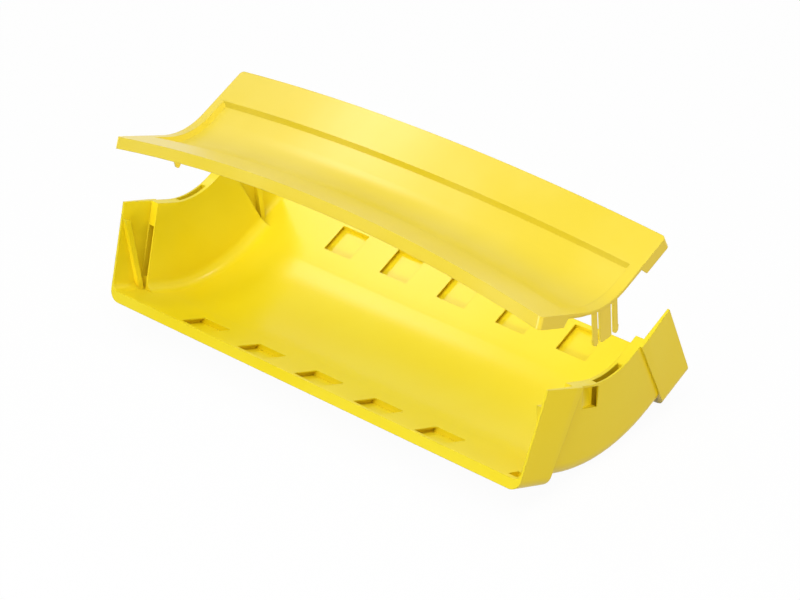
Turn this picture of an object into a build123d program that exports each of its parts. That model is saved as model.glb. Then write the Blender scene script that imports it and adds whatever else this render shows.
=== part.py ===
"""Upward 45 degree elbow of a wide fibre raceway: a moulded trough and its clip-on cover, lifted clear.

Millimetres, +Z up. X runs across the trough, Y along the cable way from the front end to the rear end.
The origin lies under the middle of the bend, on the surface that the belly of the trough rests on.
"""
from build123d import *
import math
import os

# Cable way: the line that the trough floor follows
bend_angle = 45.0
bend_radius = 185.0
straight_run = 68.0

# Trough section in the bend
floor_half_width = 291.2
floor_wall = 3.6
side_wall = 10.0
wall_height = 100.0
wall_flare_deg = 4.2
outer_flare_deg = 5.9
inner_corner_radius = 14.0

# Collars at both ends, which take the couplers; they taper from a leaning step to a thin outer end
collar_length = 43.0
collar_web = 4.5
collar_proud = 2.9
collar_taper = 0.6
collar_lean = 6.0
collar_root_wall = 2.6
collar_wall = 2.6
collar_floor = 12.0
collar_corner_radius = 14.0
collar_inner_radius = 9.0

# Floor pockets in each collar
pocket_count = 5
pocket_pitch = 87.0
pocket_width = 41.0
pocket_length = 36.5
pocket_setback = 5.4
pocket_depth = 6.4
pocket_corner_radius = 1.2
pocket_undercut = 4.0
pocket_lip = 1.5
corner_pocket_width = 12.0
corner_pocket_length = 17.0
corner_pocket_setback = 8.0
corner_pocket_inset = 9.0
corner_pocket_depth = 5.0

# Guide ribs on the collar walls
rib_top = 81.0
rib_setback = 0.3
rib_run = 36.0
rib_width = 7.0
rib_proud = 6.0
rib_root = 2.0

# Blade grooves in the ends of the thick side walls
groove_width = 7.4
groove_height = 73.0
groove_length = 20.0
groove_foot_length = 3.5
groove_lip = 1.7

# Thumb scoops in the outside of the side walls, which open into the front end of each slot
scoop_length = 24.0
scoop_height = 26.0
scoop_depth = 7.6
scoop_rim = 3.5
scoop_overlap = 0.5

# Cover
cover_lift = 80.0
cover_wall = 3.0
cover_crown = 24.0
cover_seat_gap = 0.3
cover_side_gap = 0.5
cover_end_gap = 0.4
cover_corner_radius = 5.0
rim_end_width = 46.0
panel_recess = 7.0
panel_slope = 3.0
lip_height = 13.5
lip_wall = 2.4
skirt_wall = 2.2
skirt_length = 40.0
skirt_slant = 5.0

# Clip prongs under the cover's side rims, and the slots that take them in the tops of the side walls
prong_wall = 2.4
prong_length = 38.0
side_prong_width = 6.5
middle_prong_width = 17.0
prong_spacing = 4.0
prong_tip_bevel = 2.0
barb_proud = 1.0
barb_height = 9.0
slot_side_gap = 0.4
slot_end_gap = 0.6
slot_tip_gap = 2.0
slot_inner_rim = 4.3

# Values that follow from the sizes above
half_angle = bend_angle / 2.0
bend_centre = floor_wall + bend_radius
floor_level = floor_wall
wall_top = floor_level + wall_height
flare = math.tan(math.radians(wall_flare_deg))
outer_flare = math.tan(math.radians(outer_flare_deg))
bend_axis = Axis((0, 0, bend_centre), (1, 0, 0))
mid_outer_half = floor_half_width + side_wall
mid_top_half = mid_outer_half + outer_flare * wall_height
collar_root_half = mid_outer_half + collar_proud
collar_outer_half = collar_root_half - collar_taper
collar_inner_half = collar_outer_half - collar_wall
collar_start = straight_run - collar_length
section_plane = Plane.XZ

# Where the cover stands when it is seated, with its skirts inside the collar walls
cover_reach = straight_run + cover_end_gap + lip_wall
rim_under = wall_top + cover_seat_gap
rim_top = rim_under + cover_wall
skirt_bottom = rim_top - lip_height
cover_half = collar_inner_half + flare * (skirt_bottom - floor_level) - cover_side_gap
panel_top = rim_top - panel_recess
panel_under = panel_top - cover_wall
web_half = floor_half_width + flare * (panel_under - floor_level) - cover_side_gap
panel_half = web_half - cover_wall
panel_start = cover_reach - rim_end_width
crown_radius = (cover_half ** 2 + cover_crown ** 2) / (2.0 * cover_crown)

# The slots are as wide as upright prongs need to leave a leaning wall straight up
prong_row_half = middle_prong_width / 2 + prong_spacing + side_prong_width
slot_length = 2.0 * (prong_row_half + barb_proud + slot_end_gap)
slot_bottom = rim_under - prong_length - slot_tip_gap
slot_mouth_radius = bend_centre - wall_top
slot_mouth = bend_centre - math.sqrt(slot_mouth_radius ** 2 - (slot_length / 2) ** 2)
slot_width = prong_wall + flare * (slot_mouth - slot_bottom) + 2.0 * slot_side_gap
slot_middle = floor_half_width + slot_inner_rim + slot_width / 2
prong_x = slot_middle + flare * ((slot_mouth + slot_bottom) / 2 - floor_level)


def both_ends(local):
    """A shape drawn on the straight rear run (Y from the bend's end) and its mirror image at the front."""
    rear = local.rotate(bend_axis, half_angle)
    return [rear, rear.mirror(Plane.XZ)]


def both_sides(shape):
    """A shape on the +X side and its mirror image on the -X side."""
    return [shape, shape.mirror(Plane.YZ)]


def through_bend(section):
    """A cross section at Y = 0 turned through the whole bend."""
    solid = revolve(section, axis=bend_axis, revolution_arc=bend_angle)
    return solid.rotate(bend_axis, half_angle if solid.center().Y < 0 else -half_angle)


def along_run(section, start, end):
    """A cross section carried along the straight run, from start to end past the bend."""
    return Pos(0, start, 0) * extrude(section, amount=end - start, dir=(0, 1, 0))


def wall_x(half_width, level, lean=flare):
    """Where a flared wall stands at a level, from its half width at the floor."""
    return half_width + lean * (level - floor_level)


def u_section(outer_half, lean, wall, bottom, top, outer_radius, inner_radius):
    """The trough's U section: flared walls on a flat floor, with rounded corners.

    lean is the flare of the outside; the inside always has that of the cable way.
    """
    inner_half = outer_half - wall
    outline = Polyline(
        (-wall_x(outer_half, bottom, lean), bottom),
        (wall_x(outer_half, bottom, lean), bottom),
        (wall_x(outer_half, top, lean), top),
        (wall_x(inner_half, top), top),
        (inner_half, floor_level),
        (-inner_half, floor_level),
        (-wall_x(inner_half, top), top),
        (-wall_x(outer_half, top, lean), top),
        close=True,
    )
    face = section_plane * make_face(outline)
    low = face.vertices().filter_by(lambda v: abs(v.Z - bottom) < 0.01)
    face = fillet(low, outer_radius)
    if inner_radius > 0:
        inner = face.vertices().filter_by(
            lambda v: abs(v.Z - floor_level) < 0.01 and abs(abs(v.X) - inner_half) < 0.01)
        face = fillet(inner, inner_radius)
    return face


def block(x0, x1, y0, y1, z0, z1):
    """A plain block between two corners."""
    return Pos((x0 + x1) / 2, (y0 + y1) / 2, (z0 + z1) / 2) * Box(x1 - x0, y1 - y0, z1 - z0)


def flared_block(x0, x1, y0, y1, z0, z1, lean=flare):
    """A block on the +X side whose faces lean with a flared wall; x0 and x1 are taken at the floor."""
    outline = Polyline(
        (wall_x(x0, z0, lean), z0), (wall_x(x1, z0, lean), z0),
        (wall_x(x1, z1, lean), z1), (wall_x(x0, z1, lean), z1), close=True)
    return Pos(0, y0, 0) * extrude(section_plane * make_face(outline), amount=y1 - y0, dir=(0, 1, 0))


def floor_pockets():
    """The row of undercut coupler pockets in one collar's floor, with the corner pocket on the +X side."""
    outer_end = straight_run - pocket_setback
    floor_of_pocket = floor_level - pocket_depth
    pocket = block(-pocket_width / 2, pocket_width / 2, outer_end - pocket_length, outer_end,
                   floor_of_pocket, floor_level + pocket_depth)
    pocket = fillet(pocket.edges().filter_by(Axis.Z), pocket_corner_radius)
    under_half = pocket_width / 2 + pocket_undercut
    pocket += block(-under_half, under_half, outer_end - pocket_length, outer_end,
                    floor_of_pocket, floor_level - pocket_lip)
    first = -pocket_pitch * (pocket_count - 1) / 2
    cuts = [Pos(first + n * pocket_pitch, 0, 0) * pocket for n in range(pocket_count)]
    corner_outer = collar_inner_half - corner_pocket_inset
    corner_end = straight_run - corner_pocket_setback
    corner = block(corner_outer - corner_pocket_width, corner_outer,
                   corner_end - corner_pocket_length, corner_end,
                   floor_level - corner_pocket_depth, floor_level + corner_pocket_depth)
    return cuts + [corner]


def guide_rib():
    """The slanted guide rib on the inside of a collar wall, on the +X side."""
    top_y = straight_run - rib_setback
    foot_y = top_y - rib_run
    outline = Polyline(
        (top_y, floor_level + rib_top), (top_y - rib_width, floor_level + rib_top),
        (foot_y - rib_width, floor_level), (foot_y, floor_level), close=True)
    inner = collar_inner_half - rib_proud
    outer = wall_x(collar_inner_half + rib_root, floor_level + rib_top)
    bar = Pos(inner, 0, 0) * extrude(Plane.YZ * make_face(outline), amount=outer - inner)
    leaning = flared_block(collar_inner_half - rib_proud, collar_inner_half + rib_root,
                           collar_start - collar_web, straight_run, floor_level, floor_level + rib_top)
    return bar & leaning


def blade_groove():
    """The groove in the end of a thick side wall that takes a coupler's blade, on the +X side.

    It is shallow at its foot, where the outside corner of the trough is round.
    """
    inner = floor_half_width + groove_lip
    outer = inner + groove_width
    foot = floor_level + inner_corner_radius
    deep = flared_block(inner, outer, collar_start - groove_length, collar_start,
                        foot, floor_level + groove_height)
    shallow = flared_block(inner, outer, collar_start - groove_foot_length, collar_start, floor_level, foot)
    return deep + shallow


def prong_slot():
    """The slot in the top of a side wall that takes the cover's prongs, on the +X side."""
    return flared_block(slot_middle - slot_width / 2, slot_middle + slot_width / 2,
                        -slot_length / 2, slot_length / 2, slot_bottom, wall_top + wall_height)


def thumb_scoop():
    """The hollow in the outside of a side wall, which deepens into the slot's front end, on the +X side."""
    near = -slot_length / 2 + scoop_overlap
    far = near - scoop_length
    top_near = bend_centre - math.sqrt(slot_mouth_radius ** 2 - near ** 2) - scoop_rim
    top_far = bend_centre - math.sqrt(slot_mouth_radius ** 2 - far ** 2) - scoop_rim
    outline = Polyline((near, top_near), (far, top_far), (far, top_far - scoop_height),
                       (near, top_near - scoop_height), close=True)
    side = extrude(Plane.YZ * make_face(outline), amount=mid_top_half + side_wall)
    low = top_near - scoop_height
    high = top_far
    deep = mid_outer_half - scoop_depth
    wall = flared_block(deep, mid_outer_half + side_wall, far, near, low, high, outer_flare)
    ramp = Polyline((wall_x(mid_outer_half, low, outer_flare), far), (wall_x(deep, low, outer_flare), near),
                    (mid_top_half + side_wall, near), (mid_top_half + side_wall, far), close=True)
    return wall & side & (Pos(0, 0, low) * extrude(make_face(ramp), amount=high - low))


def collar_step(web, low):
    """The end plate of one collar, whose face towards the bend leans in at the top."""
    start = collar_start - collar_web
    outline = Polyline((collar_start, low), (start, low),
                       (start - collar_lean, wall_top), (collar_start, wall_top), close=True)
    side = extrude(Plane.YZ * make_face(outline), amount=mid_top_half + side_wall, both=True)
    return along_run(web, start - collar_lean, collar_start) & side


def trough():
    """The moulded base: bend, straight runs and collars, with their pockets, ribs, grooves and slots."""
    low = floor_level - collar_floor
    mid = u_section(mid_outer_half, outer_flare, side_wall, 0.0, wall_top,
                    inner_corner_radius + floor_wall, inner_corner_radius)
    root = u_section(collar_root_half, outer_flare, collar_root_wall, low, wall_top,
                     collar_corner_radius, collar_inner_radius)
    tip = u_section(collar_outer_half, flare, collar_wall, low, wall_top,
                    collar_corner_radius, collar_inner_radius)
    web = u_section(collar_root_half, outer_flare, collar_root_half - floor_half_width, low, wall_top,
                    collar_corner_radius, inner_corner_radius)
    body = through_bend(mid)
    for run in both_ends(along_run(mid, 0.0, collar_start - collar_web)):
        body += run
    collar_solid = loft([Pos(0, collar_start, 0) * root, Pos(0, straight_run, 0) * tip], ruled=True)
    collar_solid -= floor_pockets()
    collar_solid += collar_step(web, low)
    collar_solid += both_sides(guide_rib())
    for end in both_ends(collar_solid):
        body += end
    cuts = []
    for side in both_sides(blade_groove()):
        cuts += both_ends(side)
    for cut in (prong_slot(), thumb_scoop()):
        cuts += both_sides(cut)
    return body - cuts


def crowned_band(half_low, half_high, low, high):
    """A band across the cover, crowned in the middle, between two levels taken at the cover's side edges.

    half_low and half_high are the band's half widths along its lower and its upper arc.
    """
    def crown_arc(half_width, level):
        top = level + cover_crown
        sag = crown_radius - math.sqrt(crown_radius ** 2 - half_width ** 2)
        return ThreePointArc((-half_width, top - sag), (0, top), (half_width, top - sag))

    under = crown_arc(half_low, low)
    over = crown_arc(half_high, high)
    outline = [under, Line(under @ 1, over @ 1), over, Line(under @ 0, over @ 0)]
    return section_plane * make_face(outline)


def panel_hollow():
    """What is cut from the straight run of the cover to sink its panel, with sloped sides and end."""
    above = rim_top + panel_recess
    slope_above = panel_slope * (above - panel_top) / panel_recess
    sides = along_run(crowned_band(panel_half - panel_slope, panel_half - panel_slope + slope_above,
                                   panel_top, above), 0.0, panel_start + panel_slope)
    end_profile = Polyline((0, panel_top + cover_crown), (panel_start - panel_slope, panel_top + cover_crown),
                           (panel_start - panel_slope + slope_above, above + cover_crown),
                           (0, above + cover_crown), close=True)
    crown_axis = Axis((0, 0, rim_top + cover_crown - crown_radius), (0, 1, 0))
    spread = 2.0 * math.degrees(math.asin(cover_half / crown_radius))
    end = revolve(Plane.YZ * make_face(end_profile), axis=crown_axis, revolution_arc=spread)
    return sides & end.rotate(crown_axis, -spread / 2)


def prongs():
    """The three clip prongs under the +X side rim, upright so that they leave their slot straight up."""
    low = rim_under - prong_length
    high = slot_mouth + cover_seat_gap + 2.0 * cover_wall
    side_centre = prong_row_half - side_prong_width / 2
    row = []
    for centre, width in ((-side_centre, side_prong_width), (0.0, middle_prong_width),
                          (side_centre, side_prong_width)):
        prong = block(prong_x - prong_wall / 2, prong_x + prong_wall / 2,
                      centre - width / 2, centre + width / 2, low, high)
        row.append(chamfer(prong.edges().filter_by(Axis.X).group_by(Axis.Z)[0], prong_tip_bevel))
    for sign in (-1, 1):
        barb = Polyline((sign * prong_row_half, low + prong_tip_bevel),
                        (sign * (prong_row_half + barb_proud), low + barb_height - barb_proud),
                        (sign * prong_row_half, low + barb_height), close=True)
        bar = extrude(Plane.YZ * make_face(barb), amount=prong_wall / 2, both=True)
        row.append(Pos(prong_x, 0, 0) * bar)
    above_rim = crowned_band(cover_half, cover_half, rim_under + cover_wall / 2, high + cover_wall)
    trims = [through_bend(above_rim)] + both_ends(along_run(above_rim, 0.0, cover_reach))
    return [prong - trims for prong in row]


def skirt():
    """The skirt under one end of the +X side edge, with its slanted inner end."""
    inner_y = cover_reach - skirt_length
    high = rim_top - cover_wall / 2
    outline = Polyline((cover_reach, high), (inner_y - skirt_slant, high), (inner_y, skirt_bottom),
                       (cover_reach, skirt_bottom), close=True)
    return Pos(cover_half - skirt_wall, 0, 0) * extrude(Plane.YZ * make_face(outline), amount=skirt_wall)


def cover():
    """The crowned cover in its seated place: rim, sunk panel, end lips, side skirts and prongs."""
    shell = crowned_band(cover_half, cover_half, rim_under, rim_top)
    web = crowned_band(web_half, web_half, panel_under, rim_top)
    sunk = crowned_band(panel_half - panel_slope, panel_half, panel_top, rim_top)
    lip = crowned_band(cover_half, cover_half, skirt_bottom, rim_top)
    body = through_bend(shell + web - sunk)
    run = along_run(shell + web, 0.0, panel_start + cover_wall)
    run -= panel_hollow()
    run += along_run(shell, panel_start + cover_wall, cover_reach)
    run += along_run(lip, cover_reach - lip_wall, cover_reach)
    run += both_sides(skirt())
    corners = run.edges().filter_by(Axis.Z).filter_by(
        lambda e: abs(abs(e.center().X) - cover_half) < 0.01 and abs(e.center().Y - cover_reach) < 0.01)
    run = fillet(corners, cover_corner_radius)
    for end in both_ends(run):
        body += end
    for prong in prongs():
        body += both_sides(prong)
    return body


os.makedirs("parts", exist_ok=True)
export_step(trough(), "parts/raceway_base.step")
export_step(Pos(0, 0, cover_lift) * cover(), "parts/raceway_cover.step")
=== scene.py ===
"""Looks of the fibre raceway elbow: a yellow moulded trough and its clip-on cover, in plain studio light."""
import logging
import math
from dataclasses import dataclass
from enum import Enum

import bpy
from mathutils import Matrix, Vector

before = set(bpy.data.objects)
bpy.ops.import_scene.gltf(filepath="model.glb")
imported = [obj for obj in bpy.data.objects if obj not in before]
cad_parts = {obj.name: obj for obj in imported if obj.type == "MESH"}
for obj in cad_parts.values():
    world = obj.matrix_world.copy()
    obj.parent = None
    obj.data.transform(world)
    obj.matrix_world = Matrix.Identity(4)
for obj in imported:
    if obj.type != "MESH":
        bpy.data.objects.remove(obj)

log = logging.getLogger("raceway")

Colour = tuple[float, float, float]
Triple = tuple[float, float, float]

WHITE: Colour = (1.0, 1.0, 1.0)
WARM: Colour = (1.0, 0.88, 0.50)

# The display's transfer curve
CURVE_FOOT = 0.04045
CURVE_FOOT_SLOPE = 12.92
CURVE_OFFSET = 0.055
CURVE_POWER = 2.4

# Places of a mix node's colour sockets, which share their names with its other sockets
MIX_COLOURS = (6, 7)
MIX_RESULT = 2


def linear(red: int, green: int, blue: int) -> Colour:
    """Turns a display colour into scene light.

    Args:
        red: Red of the display colour, 0 to 255.
        green: Green of the display colour, 0 to 255.
        blue: Blue of the display colour, 0 to 255.

    Returns:
        The same colour as linear values from 0 to 1.
    """
    def channel(value: int) -> float:
        """One channel's linear value."""
        share = value / 255.0
        if share <= CURVE_FOOT:
            return share / CURVE_FOOT_SLOPE
        return ((share + CURVE_OFFSET) / (1.0 + CURVE_OFFSET)) ** CURVE_POWER

    return channel(red), channel(green), channel(blue)


def opaque(colour: Colour) -> tuple[float, float, float, float]:
    """A colour with full alpha, as sockets take it."""
    return (*colour, 1.0)


def grey(level: float) -> tuple[float, float, float, float]:
    """A neutral colour of one level, as sockets take it."""
    return opaque((level, level, level))


@dataclass(frozen=True)
class SoftBox:
    """A soft lamp, sized in metres, whose level is the light that it gives a white card."""

    way: Triple
    width: float
    height: float
    level: float
    tint: Colour = WHITE


class Lamp(Enum):
    """The studio's lamps.

    SHEEN gives the cover its glare, and STREAK the soft light along the trough's left fillet. RIGHT and LEFT
    are low strips, so that each lights the outside of one wall and not the inside of the other. REAR is a low
    strip behind the rear end.
    """

    SHEEN = SoftBox(way=(-0.65, 0.17, 0.74), width=0.42, height=0.42, level=0.12)
    STREAK = SoftBox(way=(0.18, 0.62, 0.76), width=0.40, height=0.40, level=0.13)
    TOP = SoftBox(way=(0.35, -0.10, 0.93), width=1.2, height=1.2, level=0.21)
    FRONT = SoftBox(way=(0.14, -0.62, 0.77), width=1.4, height=1.4, level=0.38)
    LOW_FRONT = SoftBox(way=(0.10, -0.98, 0.16), width=1.2, height=0.5, level=0.38)
    RIGHT = SoftBox(way=(1.0, 0.03, -0.017), width=0.6, height=0.12, level=0.38, tint=WARM)
    LEFT = SoftBox(way=(-1.0, 0.03, -0.017), width=0.6, height=0.12, level=0.34, tint=WARM)
    REAR = SoftBox(way=(0.0, 1.0, -0.017), width=0.6, height=0.12, level=0.18)


@dataclass
class NodeBench:
    """A node tree with short calls for adding and joining its nodes."""

    tree: bpy.types.NodeTree

    @classmethod
    def cleared(cls, owner: bpy.types.Material | bpy.types.World) -> "NodeBench":
        """Empties the nodes of a material or a world.

        Args:
            owner: The material or world.

        Returns:
            A bench on its empty node tree.
        """
        owner.use_nodes = True
        owner.node_tree.nodes.clear()
        return cls(owner.node_tree)

    def add(self, kind: str, **settings: object) -> bpy.types.Node:
        """Adds a node.

        Args:
            kind: The node's type name.
            settings: Attributes of the node to set.

        Returns:
            The new node.
        """
        node = self.tree.nodes.new(kind)
        for name, value in settings.items():
            setattr(node, name, value)
        return node

    def join(self, source: bpy.types.NodeSocket, target: bpy.types.NodeSocket) -> None:
        """Links one socket to another."""
        self.tree.links.new(source, target)

    def math(self, operation: str, first: object, second: object) -> bpy.types.NodeSocket:
        """Adds a math node on two values.

        Args:
            operation: The math node's operation.
            first: A number or a socket.
            second: A number or a socket.

        Returns:
            The result's socket.
        """
        node = self.add("ShaderNodeMath", operation=operation)
        for socket, value in zip(node.inputs, (first, second)):
            if isinstance(value, bpy.types.NodeSocket):
                self.join(value, socket)
            else:
                socket.default_value = value
        return node.outputs["Value"]

    def spread(self, value: bpy.types.NodeSocket, low: float, high: float) -> bpy.types.NodeSocket:
        """Maps a range of a value smoothly to 0 to 1, held inside it.

        Args:
            value: The value's socket.
            low: Where the result is 0.
            high: Where the result is 1.

        Returns:
            The mapped value's socket.
        """
        node = self.add("ShaderNodeMapRange", interpolation_type="SMOOTHSTEP")
        self.join(value, node.inputs["Value"])
        node.inputs["From Min"].default_value = low
        node.inputs["From Max"].default_value = high
        return node.outputs["Result"]

    def blend(self, share: bpy.types.NodeSocket, first: object, second: object) -> bpy.types.NodeSocket:
        """Mixes two colours.

        Args:
            share: Socket of the second colour's share.
            first: A colour or a socket.
            second: A colour or a socket.

        Returns:
            The mixed colour's socket.
        """
        node = self.add("ShaderNodeMix", data_type="RGBA")
        self.join(share, node.inputs["Factor"])
        for index, value in zip(MIX_COLOURS, (first, second)):
            if isinstance(value, bpy.types.NodeSocket):
                self.join(value, node.inputs[index])
            else:
                node.inputs[index].default_value = opaque(value)
        return node.outputs[MIX_RESULT]

    def choose(self, share: object, first: bpy.types.NodeSocket,
               second: bpy.types.NodeSocket) -> bpy.types.NodeSocket:
        """Mixes two shaders.

        Args:
            share: The second shader's share, a number or a socket.
            first: The first shader's socket.
            second: The second shader's socket.

        Returns:
            The mixed shader's socket.
        """
        node = self.add("ShaderNodeMixShader")
        factor, socket_first, socket_second = node.inputs
        if isinstance(share, bpy.types.NodeSocket):
            self.join(share, factor)
        else:
            factor.default_value = share
        self.join(first, socket_first)
        self.join(second, socket_second)
        return node.outputs["Shader"]


class SkinAndPaintedLight:
    """Shader group of the surface masks: pigment mottle, moulded grain, rounded edges for a painted highlight
    and recesses for painted light and shade.
    """

    NAME = "skin_and_painted_light"
    INPUTS = {"Grain Scale": 1100.0, "Mottle Scale": 7.0, "Edge Width": 0.0012}
    MASKS = ("Mottle", "Grain", "Edge", "Recess")
    MOTTLE_DETAIL = 3.0
    MOTTLE_ROUGHNESS = 0.45
    MOTTLE_RANGE = (0.3, 0.7)
    GRAIN_DETAIL = 2.0
    GRAIN_ROUGHNESS = 0.5
    # Edge mask: rounded edges, where a lighter colour is painted as a highlight.
    EDGE_SAMPLES = 4
    EDGE_RANGE = (1.0, 0.86)
    # Recess mask: occluded corners and recesses, where a colour is painted as light and shade.
    RECESS_SAMPLES = 6
    RECESS_REACH = 0.02
    RECESS_RANGE = (0.85, 0.35)

    @classmethod
    def group(cls) -> bpy.types.NodeTree:
        """The group, built on first use.

        Returns:
            The node group.
        """
        found = bpy.data.node_groups.get(cls.NAME)
        if found is not None:
            return found
        tree = bpy.data.node_groups.new(cls.NAME, "ShaderNodeTree")
        for name, value in cls.INPUTS.items():
            socket = tree.interface.new_socket(name, in_out="INPUT", socket_type="NodeSocketFloat")
            socket.default_value = value
        for name in cls.MASKS:
            tree.interface.new_socket(name, in_out="OUTPUT", socket_type="NodeSocketFloat")
        tree.interface.new_socket("Round", in_out="OUTPUT", socket_type="NodeSocketVector")
        bench = NodeBench(tree)
        source = bench.add("NodeGroupInput").outputs
        sink = bench.add("NodeGroupOutput").inputs

        mottle = cls.noise(bench, source["Mottle Scale"], cls.MOTTLE_DETAIL, cls.MOTTLE_ROUGHNESS)
        bench.join(bench.spread(mottle, *cls.MOTTLE_RANGE), sink["Mottle"])
        grain = cls.noise(bench, source["Grain Scale"], cls.GRAIN_DETAIL, cls.GRAIN_ROUGHNESS)
        bench.join(grain, sink["Grain"])

        # Painted highlight mask: the bevel's rounded normal turning away from the face marks the edges.
        bevel = bench.add("ShaderNodeBevel", samples=cls.EDGE_SAMPLES)
        bench.join(source["Edge Width"], bevel.inputs["Radius"])
        turn = bench.add("ShaderNodeVectorMath", operation="DOT_PRODUCT")
        bench.join(bevel.outputs["Normal"], turn.inputs[0])
        bench.join(bench.add("ShaderNodeNewGeometry").outputs["Normal"], turn.inputs[1])
        bench.join(bench.spread(turn.outputs["Value"], *cls.EDGE_RANGE), sink["Edge"])
        bench.join(bevel.outputs["Normal"], sink["Round"])

        # Painted recess mask: ambient occlusion over a short reach marks corners and recesses.
        corner = bench.add("ShaderNodeAmbientOcclusion", samples=cls.RECESS_SAMPLES)
        corner.inputs["Distance"].default_value = cls.RECESS_REACH
        bench.join(bench.spread(corner.outputs["AO"], *cls.RECESS_RANGE), sink["Recess"])
        return tree

    @staticmethod
    def noise(bench: NodeBench, scale: bpy.types.NodeSocket, detail: float,
              roughness: float) -> bpy.types.NodeSocket:
        """Adds a noise that stays with the piece.

        Args:
            bench: The group's nodes.
            scale: Socket of the noise's scale.
            detail: How many finer layers it has.
            roughness: How much the finer layers count.

        Returns:
            Socket of the noise's value.
        """
        noise = bench.add("ShaderNodeTexNoise")
        noise.inputs["Detail"].default_value = detail
        noise.inputs["Roughness"].default_value = roughness
        bench.join(bench.add("ShaderNodeTexCoord").outputs["Object"], noise.inputs["Vector"])
        bench.join(scale, noise.inputs["Scale"])
        return noise.outputs["Fac"]


@dataclass(frozen=True)
class MouldedPlastic:
    """Satin moulded yellow plastic, coloured through, with a thin gloss, a painted highlight on its edges and
    a painted colour in its recesses.
    """

    name: str
    body: Colour
    # Pale: the lighter tone of the random mottle, also painted on edges as a highlight.
    pale: Colour
    # Painted recess colour: painted shade on the trough, painted bounce light on the cover; recess is its
    # share.
    painted_recess_colour: Colour
    recess: float = 0.3
    # Share of the pale colour painted on edges as a highlight.
    edge_highlight: float = 0.45
    edge_width: float = 0.0012
    roughness: float = 0.38
    roughness_rise: float = 0.05
    grain_scale: float = 1100.0
    grain_depth: float = 0.00004
    grain_strength: float = 0.3
    mottle_scale: float = 7.0
    refraction: float = 1.49
    reflection: float = 0.15
    gloss: float = 0.28
    gloss_roughness: float = 0.2

    def material(self) -> bpy.types.Material:
        """Builds the finish.

        Returns:
            The new material.
        """
        made = bpy.data.materials.new(self.name)
        bench = NodeBench.cleared(made)
        sink = bench.add("ShaderNodeOutputMaterial")
        shader = bench.add("ShaderNodeBsdfPrincipled")
        bench.join(shader.outputs["BSDF"], sink.inputs["Surface"])
        skin = bench.add("ShaderNodeGroup", node_tree=SkinAndPaintedLight.group())
        skin.inputs["Grain Scale"].default_value = self.grain_scale
        skin.inputs["Mottle Scale"].default_value = self.mottle_scale
        skin.inputs["Edge Width"].default_value = self.edge_width

        bench.join(self.colour(bench, skin), shader.inputs["Base Color"])
        rough = self.roughness
        for mask in ("Mottle", "Grain"):
            rise = bench.math("MULTIPLY", skin.outputs[mask], self.roughness_rise)
            rough = bench.math("ADD", rough, rise)
        bench.join(rough, shader.inputs["Roughness"])

        bump = bench.add("ShaderNodeBump")
        bump.inputs["Strength"].default_value = self.grain_strength
        bump.inputs["Distance"].default_value = self.grain_depth
        bench.join(skin.outputs["Grain"], bump.inputs["Height"])
        bench.join(skin.outputs["Round"], bump.inputs["Normal"])
        bench.join(bump.outputs["Normal"], shader.inputs["Normal"])

        shader.inputs["IOR"].default_value = self.refraction
        shader.inputs["Specular IOR Level"].default_value = self.reflection
        shader.inputs["Coat Weight"].default_value = self.gloss
        shader.inputs["Coat Roughness"].default_value = self.gloss_roughness
        return made

    def colour(self, bench: NodeBench, skin: bpy.types.Node) -> bpy.types.NodeSocket:
        """Mixes the plastic's colours over the surface: its random mottle, a painted highlight on the edges
        and a painted colour in the recesses.

        Args:
            bench: The material's nodes.
            skin: The group node of the mottle, grain and painted light masks.

        Returns:
            The colour's socket.
        """
        mottled = bench.blend(skin.outputs["Mottle"], self.body, self.pale)
        # Painted highlight: the pale colour on the rounded edges.
        edge = bench.math("MULTIPLY", skin.outputs["Edge"], self.edge_highlight)
        edge_highlighted = bench.blend(edge, mottled, self.pale)
        # Painted recess colour over occluded corners and recesses.
        recess = bench.math("MULTIPLY", skin.outputs["Recess"], self.recess)
        return bench.blend(recess, edge_highlighted, self.painted_recess_colour)


TROUGH_YELLOW = MouldedPlastic(
    name="trough_yellow",
    body=linear(247, 222, 14),
    pale=linear(248, 226, 40),
    # Darker yellow painted into recesses as shade.
    painted_recess_colour=linear(215, 185, 0),
)
COVER_YELLOW = MouldedPlastic(
    name="cover_yellow",
    body=linear(238, 212, 46),
    pale=linear(241, 217, 74),
    # Brighter, saturated yellow painted into recesses as bounce light.
    painted_recess_colour=linear(255, 232, 0),
    recess=1.0,
    gloss=0.6,
    gloss_roughness=0.3,
)


@dataclass
class Moulding:
    """One moulding of the raceway: its CAD node and the finish that it gets."""

    node: str
    finish: MouldedPlastic

    def dress(self) -> bpy.types.Object:
        """Gives the moulding its finish.

        Returns:
            The moulding's object.
        """
        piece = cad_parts[self.node]
        piece.data.materials.clear()
        piece.data.materials.append(self.finish.material())
        return piece


@dataclass
class RacewayBase(Moulding):
    """The moulded trough."""

    node: str = "raceway_base"
    finish: MouldedPlastic = TROUGH_YELLOW


@dataclass
class RacewayCover(Moulding):
    """The crowned cover with its clip prongs."""

    node: str = "raceway_cover"
    finish: MouldedPlastic = COVER_YELLOW

    def dress(self) -> bpy.types.Object:
        """Gives the cover its finish and lets the studio light through to the trough under it.

        Returns:
            The cover's object.
        """
        piece = super().dress()
        piece.visible_shadow = False
        piece.visible_diffuse = False
        return piece


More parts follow.
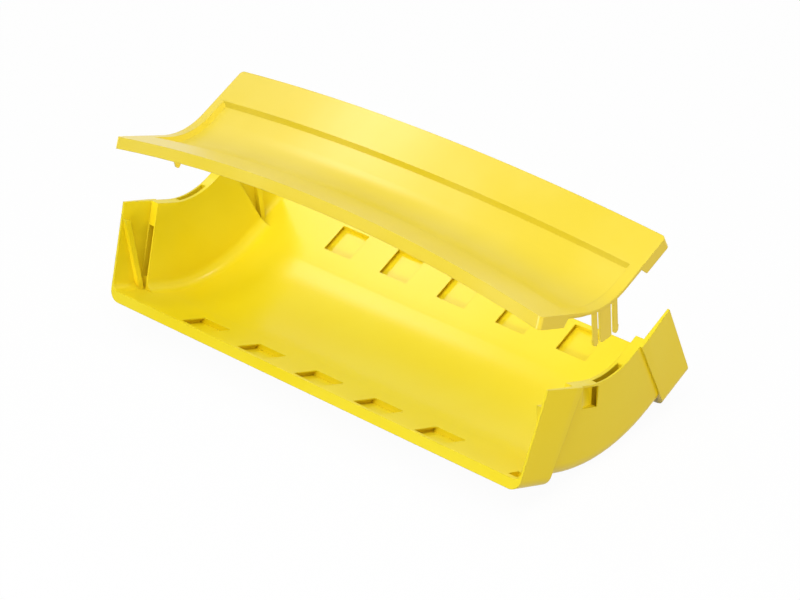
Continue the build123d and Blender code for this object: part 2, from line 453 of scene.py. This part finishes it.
@dataclass
class PhotoView:
    """The photograph's camera, as fitted to the trough."""

    location: Triple = (1.9392, -1.9170, 1.7456)
    forward: Triple = (-0.60381, 0.60235, -0.52210)
    roll_deg: float = -3.98
    lens_mm: float = 133.47
    sensor_mm: float = 36.0
    reach: float = 50.0

    def place(self) -> bpy.types.Object:
        """Makes the camera and gives it to the scene.

        Returns:
            The camera's object.
        """
        ahead = Vector(self.forward).normalized()
        level_right = ahead.cross(Vector((0.0, 0.0, 1.0))).normalized()
        level_up = level_right.cross(ahead)
        roll = math.radians(self.roll_deg)
        right = level_right * math.cos(roll) + level_up * math.sin(roll)
        up = right.cross(ahead)
        data = bpy.data.cameras.new("photo_view")
        data.sensor_width = self.sensor_mm
        data.lens = self.lens_mm
        data.clip_end = self.reach
        camera = bpy.data.objects.new("photo_view", data)
        bpy.context.scene.collection.objects.link(camera)
        turn = Matrix((right, up, -ahead)).transposed().to_4x4()
        camera.matrix_world = Matrix.Translation(Vector(self.location)) @ turn
        bpy.context.scene.camera = camera
        return camera


@dataclass
class Studio:
    """White floor and soft light round the object."""

    middle: Triple = (0.0, 0.0, 0.1)
    lamp_distance: float = 2.4
    world_level: float = 0.28
    floor_size: float = 12.0
    floor_drop: float = 0.0005
    floor_bounce: float = 0.06
    floor_paper: float = 0.9
    floor_white: float = 0.96

    @staticmethod
    def seen(bench: NodeBench) -> bpy.types.NodeSocket:
        """Adds the test for rays that show the background itself.

        Args:
            bench: The material's or the world's nodes.

        Returns:
            Socket that is 1 for camera, glossy and transmission rays.
        """
        rays = bench.add("ShaderNodeLightPath")
        seen = bench.math("MAXIMUM", rays.outputs["Is Camera Ray"], rays.outputs["Is Glossy Ray"])
        return bench.math("MAXIMUM", seen, rays.outputs["Is Transmission Ray"])

    def white_floor(self) -> bpy.types.Material:
        """Builds the floor's finish: white where it is seen, but for the object's soft shadow, else dull.

        Returns:
            The new material.
        """
        made = bpy.data.materials.new("white_floor")
        bench = NodeBench.cleared(made)
        sink = bench.add("ShaderNodeOutputMaterial")
        dull = bench.add("ShaderNodeBsdfDiffuse")
        dull.inputs["Color"].default_value = grey(self.floor_bounce)
        paper = bench.add("ShaderNodeBsdfDiffuse")
        paper.inputs["Color"].default_value = grey(self.floor_paper)
        glow = bench.add("ShaderNodeEmission")
        shadowed = bench.choose(self.floor_white, paper.outputs["BSDF"], glow.outputs["Emission"])
        either = bench.choose(self.seen(bench), dull.outputs["BSDF"], shadowed)
        bench.join(either, sink.inputs["Surface"])
        return made

    def floor(self) -> bpy.types.Object:
        """Lays the white floor just under the object.

        Returns:
            The floor's object.
        """
        half = self.floor_size / 2
        mesh = bpy.data.meshes.new("floor")
        outline = [(-half, -half, 0.0), (half, -half, 0.0), (half, half, 0.0), (-half, half, 0.0)]
        mesh.from_pydata(outline, [], [range(len(outline))])
        mesh.materials.append(self.white_floor())
        floor = bpy.data.objects.new("floor", mesh)
        floor.location.z = -self.floor_drop
        bpy.context.scene.collection.objects.link(floor)
        return floor

    def world(self) -> None:
        """Lights the room evenly and shows white to the camera."""
        made = bpy.data.worlds.new("studio")
        bpy.context.scene.world = made
        bench = NodeBench.cleared(made)
        sink = bench.add("ShaderNodeOutputWorld")
        backgrounds = []
        for level in (self.world_level, 1.0):
            background = bench.add("ShaderNodeBackground")
            background.inputs["Color"].default_value = opaque(WHITE)
            background.inputs["Strength"].default_value = level
            backgrounds.append(background.outputs["Background"])
        bench.join(bench.choose(self.seen(bench), *backgrounds), sink.inputs["Surface"])

    def lamps(self) -> None:
        """Hangs the soft lamps round the object."""
        middle = Vector(self.middle)
        for lamp in Lamp:
            box = lamp.value
            data = bpy.data.lights.new(lamp.name.lower(), "AREA")
            data.energy = box.level * (math.pi * self.lamp_distance) ** 2
            data.shape = "RECTANGLE"
            data.size = box.width
            data.size_y = box.height
            data.color = box.tint
            light = bpy.data.objects.new(lamp.name.lower(), data)
            bpy.context.scene.collection.objects.link(light)
            light.location = middle + Vector(box.way).normalized() * self.lamp_distance
            light.rotation_euler = (middle - light.location).to_track_quat("-Z", "Y").to_euler()

    def build(self) -> None:
        """Makes the floor, the room light and the lamps."""
        self.floor()
        self.world()
        self.lamps()
        bpy.context.scene.view_settings.view_transform = "Standard"


def main() -> None:
    """Builds the scene and dresses the two mouldings."""
    logging.basicConfig(level=logging.INFO)
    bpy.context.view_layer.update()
    PhotoView().place()
    Studio().build()
    for part in (RacewayBase(), RacewayCover()):
        piece = part.dress()
        log.info("dressed %s", piece.name)


if __name__ == "__main__":
    main()
